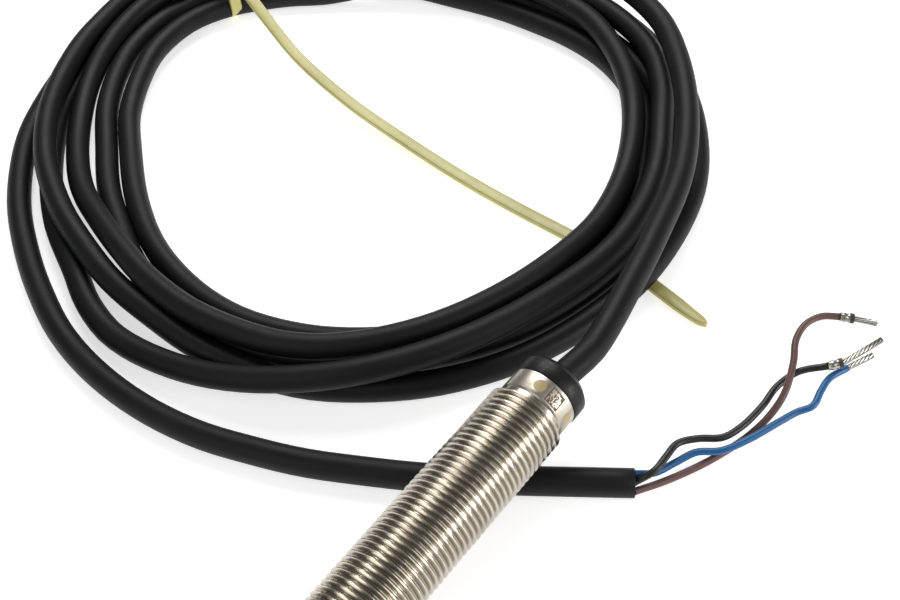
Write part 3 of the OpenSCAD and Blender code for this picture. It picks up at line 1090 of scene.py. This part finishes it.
@dataclass
class Conductor:
    """One insulated wire with its bare strands and, where it has one, its crimped sleeve.

    Sizes are in millimetres. The lay is the length of one twist of the strands, the splay how
    much wider their bundle is at its tip, and hidden how far they start inside the wire.
    """

    name: str
    route: Tuple[Point, ...]
    tip: Point
    finish: Slot
    sleeve_end: Optional[Point] = None
    wire_r: float = 0.55
    sleeve_r: float = 0.74
    strand_count: int = 7
    strand_r: float = 0.155
    bundle_r: float = 0.30
    lay: float = 5.5
    splay: float = 1.12
    hidden: float = 0.5
    crimp: float = 0.13
    flare: float = 1.08
    band_at: Tuple[float, float] = (0.72, 0.98)
    band_swell: float = 1.07

    def strands(self) -> bpy.types.Object:
        """Make the twisted bare strands.

        Returns:
            The piece.
        """
        start = Vector(self.sleeve_end or self.route[-1])
        reach = (Vector(self.tip) - start).length

        def build(graph: Graph, size: Dict[str, Socket]) -> Socket:
            """Turn one spiral strand round the bundle's axis, once for each strand.

            Args:
                graph: the tree's nodes.
                size: its inputs by name.

            Returns:
                The strands, as instances.
            """
            spiral = graph.add("GeometryNodeCurveSpiral", None, {
                "Resolution": 14, "Rotations": size["Twist"], "Start Radius": size["Bundle"],
                "End Radius": size["Bundle"] * self.splay,
                "Height": size["Length"] + self.hidden})
            round_wire = graph.add("GeometryNodeCurvePrimitiveCircle", None, {
                "Resolution": 8, "Radius": size["Strand"]})
            strand = graph.add("GeometryNodeCurveToMesh", None, {
                "Curve": spiral, "Profile Curve": round_wire, "Fill Caps": True})
            points = graph.add("GeometryNodeMeshLine", None, {
                "Count": size["Count"], "Offset": (0.0, 0.0, 0.0)})
            index = graph.add("GeometryNodeInputIndex")
            turn = graph.add("ShaderNodeCombineXYZ", None, {
                2: index / size["Count"] * math.tau})
            return graph.add("GeometryNodeInstanceOnPoints", None, {
                "Points": points, "Instance": strand, "Rotation": turn})

        heading = (Vector(self.tip) - start).normalized()
        place = along(start - heading * self.hidden, self.tip)
        return grow(f"strands_{self.name}_twist", build, {
            "Length": reach, "Twist": reach / self.lay, "Bundle": self.bundle_r,
            "Strand": self.strand_r, "Count": self.strand_count}, Slot.tinned_strands, place)

    def sleeve(self) -> Tuple[bpy.types.Object, bpy.types.Object]:
        """Make the crimped sleeve and its dark band.

        Returns:
            The sleeve and the band.
        """
        a, b = np.array(self.route[-1]), np.array(self.sleeve_end)
        share = np.linspace(0.0, 1.0, 13)
        path = (a + share[:, None] * (b - a)) * MM
        pinch = 1.0 - self.crimp * np.clip(np.sin(share * 5 * math.pi), 0.0, 1.0)
        radii = self.sleeve_r * MM * pinch
        radii[0] *= self.flare
        sleeve = tube(f"ferrule_{self.name}_crimp", path, radii, 20, Slot.ferrule_metal, 40.0,
                      tip=((0.02 * MM, 0.5 * MM),))
        ring = (a + np.linspace(*self.band_at, 5)[:, None] * (b - a)) * MM
        band = tube(f"ferrule_{self.name}_band", ring, self.sleeve_r * self.band_swell * MM, 20,
                    ExtraFinish.ferrule_band, 40.0)
        return sleeve, band

    def build(self) -> None:
        path = smooth_path(self.route, 0.6) * MM
        r = self.wire_r * MM
        wire = tube(f"insulation_{self.name}", path, r, 14, self.finish, tip=(
            (0.06 * MM, r * 0.9), (0.06 * MM, r * 0.6), (-0.2 * MM, r * 0.6)))
        attach(wire, self.finish.name, f"wire_{self.name}")
        on_it = [attach(self.strands(), "tinned_strands", f"strands_{self.name}")]
        if self.sleeve_end:
            sleeve, band = self.sleeve()
            on_it += [attach(sleeve, "ferrule_metal", f"ferrule_{self.name}"),
                      attach(band, "ferrule_metal")]


CONDUCTORS = (
    Conductor("blue", (
        (14.9, 30.1, 2.9), (16.8, 32.6, 1.8), (18.2, 36, 1.6), (19.8, 39, 2), (22.6, 41, 2.4),
        (25, 45, 2.8), (27, 50, 3), (28.2, 53, 3), (29.6, 55, 3.4), (29.3, 58, 3.6),
        (29.2, 61, 3.5), (30.3, 64.5, 3.1)), (32.2, 69, 3), Slot.insulation_blue),
    Conductor("black", (
        (15.5, 29.2, 2.3), (17.2, 31.7, 3.7), (17.2, 34.8, 3.6), (17.2, 38, 3.2), (19, 40.5, 3),
        (21.8, 42.8, 3), (23, 46, 3), (23.6, 51, 3), (23.6, 55.5, 3.1), (25, 59.2, 3.8),
        (28.2, 62, 4.6)), (32.5, 70.5, 5.4), Slot.insulation_black, (29.8, 63.5, 5)),
    Conductor("brown", (
        (16.1, 28.5, 1.4), (18.4, 32.8, 0.8), (20.8, 37.6, 0.7), (22.6, 41.8, 0.9),
        (24.2, 46.5, 1.3), (25.2, 50.4, 2.6), (25.4, 54, 4.2), (24, 59, 5.5), (22.4, 62.6, 6.1),
        (22.2, 66, 6.4), (23.4, 68.6, 6.5), (25.6, 70.4, 6.2)), (30.4, 73.2, 5.2),
        Slot.insulation_brown, (27.4, 71.4, 6)),
)


# ---------------------------------------------------------------- the cable tie

@dataclass
class CableTie:
    """Nylon tie: a loop across the turns, its head, and a long tail with small teeth.

    Sizes are in millimetres. The tail's last taper_length narrows by the taper for each
    millimetre, and its last tip_length is rounded off. Its bare_steps at each end have no teeth.
    """

    centre: Point = (-125.8, 82.2, 0.0)
    turn: float = 163.0
    span: float = 21.5
    height: float = 10.0
    width: float = 2.3
    thick: float = 1.0
    corner: float = 0.22
    loop_r: float = 3.0
    head: Point = (5.0, 4.6, 3.0)
    head_back: float = 1.0
    head_round: float = 0.45
    step: float = 1.0
    tip_length: float = 1.6
    tip_round: float = 1.75
    taper_length: float = 6.0
    taper: float = 0.06
    bare_steps: int = 8
    tooth: Point = (0.4, 1.5, 0.16)
    route: Tuple[Point, ...] = (
        (-116, 79.2, 11.2), (-109, 77.4, 10.2), (-100, 74.9, 7.1), (-91, 72.4, 4.8),
        (-75, 69.5, 2.7), (-60, 67.9, 1.6), (-47, 66.8, 0.9), (-36, 66.2, 0.62), (-23, 65.8, 0.62),
        (-10, 65.5, 0.62), (-2, 63.8, 0.62), (5, 62.3, 0.62), (8, 61.8, 0.62))

    @property
    def place(self) -> Matrix:
        """Tie millimetres to metres in the row frame."""
        return (Matrix.Scale(MM, 4) @ Matrix.Translation(self.centre)
                @ Matrix.Rotation(math.radians(self.turn), 4, "Z"))

    def section(self, width: float) -> List[Tuple[float, float]]:
        """Round off the strap's cross-section.

        Args:
            width: the strap's width there.

        Returns:
            Its corners, as (across, up).
        """
        w, h, c = width / 2, self.thick / 2, self.corner
        k = c * 0.3
        return [(w, -h + c), (w, h - c), (w - k, h - k), (w - c, h), (-w + c, h), (-w + k, h - k),
                (-w, h - c), (-w, -h + c), (-w + k, -h + k), (-w + c, -h), (w - c, -h),
                (w - k, -h + k)]

    def tail(self) -> bpy.types.Object:
        """Make the free end of the strap with its rounded tip.

        Returns:
            The piece.
        """
        path = smooth_path(self.route, self.step)
        heading = np.gradient(path, axis=0)
        heading /= np.linalg.norm(heading, axis=1)[:, None]
        across = np.cross(heading, (0.0, 0.0, 1.0))
        across /= np.linalg.norm(across, axis=1)[:, None]
        up = np.cross(across, heading)
        left = (len(path) - 1 - np.arange(len(path))) * self.step
        past = (self.tip_length - left).clip(0) / self.tip_round
        widths = self.width * np.sqrt(np.clip(1 - past ** 2, 0.02, 1.0))
        widths *= 1 - self.taper * (self.taper_length - left).clip(0)
        rings = [[path[i] + a * across[i] + u * up[i] for a, u in self.section(widths[i])]
                 for i in range(len(path))]
        verts = np.array(rings).reshape(-1, 3) * MM
        return mesh_object("tie_strap_tail", verts, ring_faces(len(path), len(rings[0])),
                           Slot.tie_nylon, 50.0)

    def loop(self) -> bpy.types.Object:
        """Make the strap's loop across the turns.

        Returns:
            The piece.
        """
        low, r = self.thick / 2, self.loop_r
        w, h = self.span / 2 - low, self.height - low
        corners = [((w - r, low + r), -90), ((w - r, h - r), 0), ((-w + r, h - r), 90),
                   ((-w + r, low + r), 180)]
        line = [(cx + r * math.cos(math.radians(t0 + 15 * k)),
                 cz + r * math.sin(math.radians(t0 + 15 * k)))
                for (cx, cz), t0 in corners for k in range(7)]
        count = len(line)
        verts = []
        for i, (x, z) in enumerate(line):
            dx, dz = np.subtract(line[(i + 1) % count], line[i - 1])
            nx, nz = np.array((dz, -dx)) / math.hypot(dx, dz)
            verts += [self.place @ Vector((x + nx * u, a, z + nz * u))
                      for a, u in self.section(self.width)]
        return mesh_object("tie_strap_loop", verts, ring_faces(count, len(verts) // count, True),
                           Slot.tie_nylon, 50.0)

    def head_block(self) -> bpy.types.Object:
        """Make the head with softened edges.

        Returns:
            The piece.
        """
        length, width, height = self.head
        x0, z0 = -self.span / 2 - self.head_back, self.height
        work = bmesh.new()
        bmesh.ops.create_cube(work, size=1.0)
        for vert in work.verts:
            vert.co = (x0 + (vert.co.x + 0.5) * length, vert.co.y * width,
                       z0 + (vert.co.z + 0.5) * height)
        bmesh.ops.bevel(work, geom=work.edges[:], offset=self.head_round, segments=3,
                        affect="EDGES")
        mesh = bpy.data.meshes.new("tie_head_block")
        work.to_mesh(mesh)
        work.free()
        mesh.transform(self.place)
        mesh.materials.append(Slot.tie_nylon.material)
        return show("tie_head_block", mesh, 50.0)

    def teeth(self) -> bpy.types.Object:
        """Make the small teeth on the tail's under side.

        Returns:
            The piece.
        """
        path = smooth_path(self.route, self.step)[self.bare_steps:-self.bare_steps]

        def build(graph: Graph, size: Dict[str, Socket]) -> Socket:
            """Set a tooth across the strap at each step of its route.

            Args:
                graph: the tree's nodes.
                size: its inputs by name.

            Returns:
                The teeth, as instances.
            """
            line = graph.add("GeometryNodeCurvePrimitiveLine", {"mode": "POINTS"}, {
                "Start": tuple(path[0]), "End": tuple(path[-1])})
            fine = graph.add("GeometryNodeResampleCurve", None, {
                "Curve": line, "Count": size["Count"]})
            share = graph.add("GeometryNodeInputIndex") / (size["Count"] - 1.0)
            spot = graph.add("ShaderNodeCombineXYZ", None, {
                k: looked_up(graph, share, path[:, k]) for k in range(3)})
            bent = graph.add("GeometryNodeSetPosition", None, {"Geometry": fine, "Position": spot})
            tooth = graph.add("GeometryNodeMeshCube", None, {"Size": self.tooth})
            turn = graph.add(
                "FunctionNodeAlignRotationToVector", {"axis": "X", "pivot_axis": "AUTO"},
                {"Vector": graph.add("GeometryNodeInputTangent")})
            points = graph.add("GeometryNodeInstanceOnPoints", None, {
                "Points": bent, "Instance": tooth, "Rotation": turn})
            return graph.add("GeometryNodeTranslateInstances", None, {
                "Instances": points, "Translation": (0.0, 0.0, -self.thick / 2),
                "Local Space": True})

        return grow("tie_teeth", build, {"Count": len(path)}, Slot.tie_nylon,
                    Matrix.Scale(MM, 4))

    def build(self) -> List[bpy.types.Object]:
        """Build and attach the tie's pieces, and return them."""
        return [attach(self.loop(), "tie_nylon", "tie_loop"),
                attach(self.head_block(), "tie_nylon", "tie_head"),
                attach(self.tail(), "tie_nylon", "tie_tail"),
                attach(self.teeth(), "tie_nylon")]


# ---------------------------------------------------------------- the cable

Knot = Tuple[float, ...]


@dataclass
class Cable:
    """One black cable: its lead, five turns held by a tie, and its end run.

    Sizes are in millimetres. A turn's knots are (degrees, radius, height) about the centre, and
    the height is left out where the cable lies on the table, as it does in the whole end run.
    Inside are the stations on the barrel's axis where it starts. While the turns settle, the
    first and last stretches are held for a length and eased over another.
    """

    diameter: float = 4.3
    sample: float = 3.0
    ring_step: float = 2.5
    core_r: float = 1.55
    edge: float = 0.12
    core_depth: float = 0.7
    clearance: float = 1.004
    push_share: float = 0.32
    easing: float = 0.985
    easing_share: float = 0.7
    held_start: Tuple[float, float] = (25.0, 40.0)
    held_end: Tuple[float, float] = (150.0, 60.0)
    centre: Tuple[float, float] = (-66.0, 63.4)
    inside: Tuple[float, ...] = (58.0, 61.5, 65.0)
    lead: Tuple[Point, ...] = (
        (0.5, 37, 10.7), (0.5, 41, 10.4), (-0.5, 47, 10.2), (-2, 54, 10.2), (-3.5, 61, 10.2),
        (-5.5, 69, 10.2), (-8, 78, 10.2), (-12, 87, 10.2), (-18, 97, 10.2), (-26, 107, 10.2),
        (-36, 116, 10))
    first_turn: Tuple[Knot, ...] = (
        (78, 60.5, 9.9), (95, 59, 10.2), (115, 60, 10.6), (135, 63, 10.2), (150, 66, 8.4),
        (163, 68, 6.4), (178, 68.3, 6.1), (185, 66.8, 6.1), (193, 65.1, 6.2), (208, 61.6, 6.4),
        (222, 58.7, 6.4), (237, 55.8, 6.2), (249, 54.1, 5.4), (260, 53.6, 4.5), (272, 53.6, 4),
        (284, 55, 3), (300, 57.8), (312, 59), (325, 60), (340, 60.5), (360, 60.8))
    second_turn: Tuple[Knot, ...] = (
        (19, 61.1), (32, 61), (48, 61), (65, 60.5), (80, 59.5, 2.2), (95, 58.5, 2.5),
        (108, 58.8, 4), (120, 60, 6), (130, 61, 6.4), (140, 62.2, 5.6), (152, 64, 3), (163, 65.3),
        (178, 65.3), (190, 64.2), (200, 62.8), (208, 61.6), (222, 59), (237, 57.6), (251, 57.3),
        (260, 58.9), (270, 59.9), (286, 59.5, 3), (302, 59, 5), (317, 58, 6.3), (334, 56.2, 6.3),
        (357, 55.7, 5.6))
    third_turn: Tuple[Knot, ...] = (
        (10, 55.3, 5.2), (22, 54.8, 5), (34, 54.6, 5), (45, 55.9, 5), (58, 57.2, 5),
        (72, 56.5, 5.5), (88, 55, 6.2), (104, 54.6, 6.4), (120, 56, 6.4), (136, 58.6, 6.3),
        (150, 61.5, 6.3), (163, 63.8, 6.2), (174, 64.4, 5.4), (184, 63.3, 4.6), (192, 61.8, 3.8),
        (200, 59.8, 3), (208, 57.4, 2.6), (219, 54.6, 3), (232, 52.2, 4.2), (244, 50.2, 5.5),
        (256, 49.7, 6.3), (268, 50.5, 6.3), (282, 51.9, 6.3), (301, 53.7, 6.3), (318, 52.7, 6.3),
        (337, 51, 6.3), (360, 50.4, 6))
    fourth_turn: Tuple[Knot, ...] = (
        (12, 49.9, 5.6), (24, 49.5, 5.2), (37, 49.7, 5), (48, 50.3, 5), (61, 51.3, 5),
        (72, 52, 5.4), (86, 51, 6.2), (100, 49.6, 6.4), (114, 48, 5.6), (128, 47.6, 3.6),
        (141, 48.6), (150, 51.2), (157, 53.2), (163, 54.8, 2.3), (172, 55.4, 2.8), (183, 53.9, 3),
        (193, 51, 2.8), (205, 47.9, 2.3), (218, 44.6), (237, 43.2), (253, 43.9), (265, 44.8),
        (278, 46.3), (290, 47.5), (305, 48.6), (322, 49.7), (340, 50.7), (360, 51.4))
    fifth_turn: Tuple[Knot, ...] = (
        (16, 51.6), (31, 51.2), (43, 52), (53, 51.6), (64, 50.4), (74, 48.8), (83, 47.4),
        (92, 46.8), (100, 46.6), (108, 46.9), (118, 48.6), (128, 51), (138, 54), (148, 57.4),
        (157, 60), (163, 61), (170, 61), (176, 60.3, 3), (186, 58.3, 3.2), (195, 55.6, 3),
        (205, 52.6, 2.4), (217, 49.1), (231, 47.5), (244, 47), (256, 48.2), (270, 50), (288, 51.8),
        (305, 53.2), (322, 54.3), (340, 55.2), (360, 55.8))
    last_pass: Tuple[Knot, ...] = (
        (20, 56.2), (38, 56.4), (55, 55.5), (70, 53.8), (85, 52.2), (100, 51.6), (112, 53),
        (124, 56.5), (134, 61), (144, 66), (154, 69.2), (163, 69.9), (175, 69.7), (185, 68.6),
        (194, 67.2))
    end_run: Tuple[Knot, ...] = (
        (-127, 38), (-121, 28), (-113, 19.5), (-105, 13), (-96, 7.5), (-87, 3), (-75, -1.5),
        (-63, -3.5), (-52, -3.5), (-42, -2), (-34, 0.5), (-26, 3.5), (-18, 7.5), (-9, 12.5),
        (0, 18.5), (8, 24), (15.5, 29.2))

    def guide(self) -> np.ndarray:
        """Lay the knots out.

        Returns:
            The planned centreline in millimetres, before its turns settle.
        """
        lying = self.diameter / 2
        coil = [(self.centre[0] + knot[1] * math.cos(math.radians(knot[0])),
                 self.centre[1] + knot[1] * math.sin(math.radians(knot[0])),
                 knot[2] if len(knot) > 2 else lying)
                for turn in (self.first_turn, self.second_turn, self.third_turn,
                             self.fourth_turn, self.fifth_turn, self.last_pass)
                for knot in turn]
        start = [tuple(LAID.axis_point(station) / MM) for station in self.inside]
        end = [(*knot, lying) for knot in self.end_run]
        return smooth_path([*start, *self.lead, *coil, *end], self.sample)

    def settle(self, guide: np.ndarray, rounds: int = 260) -> np.ndarray:
        """Push overlapping turns apart while they stay near the plan and on the table.

        Args:
            guide: the planned centreline.
            rounds: number of passes.

        Returns:
            The settled centreline.
        """
        count, reach = len(guide), int(3.5 * self.diameter / self.sample)
        order = np.arange(count)
        apart = np.where(np.abs(np.subtract.outer(order, order)) > reach, 0.0, 1e3)
        free = np.ones(count)
        for run, (held, ease) in ((order, self.held_start), (order[::-1], self.held_end)):
            free *= np.clip((run * self.sample - held) / ease, 0.0, 1.0)
        moved = np.zeros_like(guide)
        for step in range(rounds):
            now = guide + moved
            delta = now[:, None] - now[None]
            distance = np.linalg.norm(delta, axis=2) + apart
            close = np.clip(self.diameter * self.clearance - distance, 0.0, None)
            push = (delta / np.maximum(distance, 1e-3)[..., None] * close[..., None]).sum(axis=1)
            moved += self.push_share * push * free[:, None]
            for _ in range(2):
                moved[1:-1] = 0.5 * moved[1:-1] + 0.25 * (moved[:-2] + moved[2:])
            if step < rounds * self.easing_share:
                moved *= self.easing
            moved[:, 2] = np.maximum(moved[:, 2], self.diameter / 2 - guide[:, 2])
        return guide + moved

    def build(self, on_it: Sequence[bpy.types.Object]) -> None:
        """Args:
            on_it: the tie's pieces; not used.
        """
        path = resample(self.settle(self.guide()), self.ring_step) * MM
        outer, core = self.diameter / 2 * MM, self.core_r * MM
        piece = tube("cable", path, outer, 20, Slot.cable_jacket, tip=(
            (self.edge * MM, outer - 0.1 * MM), (self.edge * MM, core),
            (-self.core_depth * MM, core)))
        attach(piece, "cable_jacket", "cable_lead", "cable_coil", "cable_tail")


def dress_nodes() -> None:
    """Give every shown CAD node the finish of its slot."""
    for part in frame["record"]["subparts"]:
        finish = Slot[part["material_slot"]]
        holder = frame["nodes"][part["node"]]
        for place in holder.material_slots:
            place.material = finish.material
        if not holder.material_slots:
            LOG.info("%s has no material slot", part["node"])


def main() -> None:
    """Build the sensor in order."""
    logging.basicConfig(level=logging.INFO, format="%(name)s: %(message)s")
    Studio().build()
    dress_nodes()
    Cable().build(CableTie().build())
    Barrel().build()
    for conductor in CONDUCTORS:
        conductor.build()


if __name__ == "__main__":
    main()
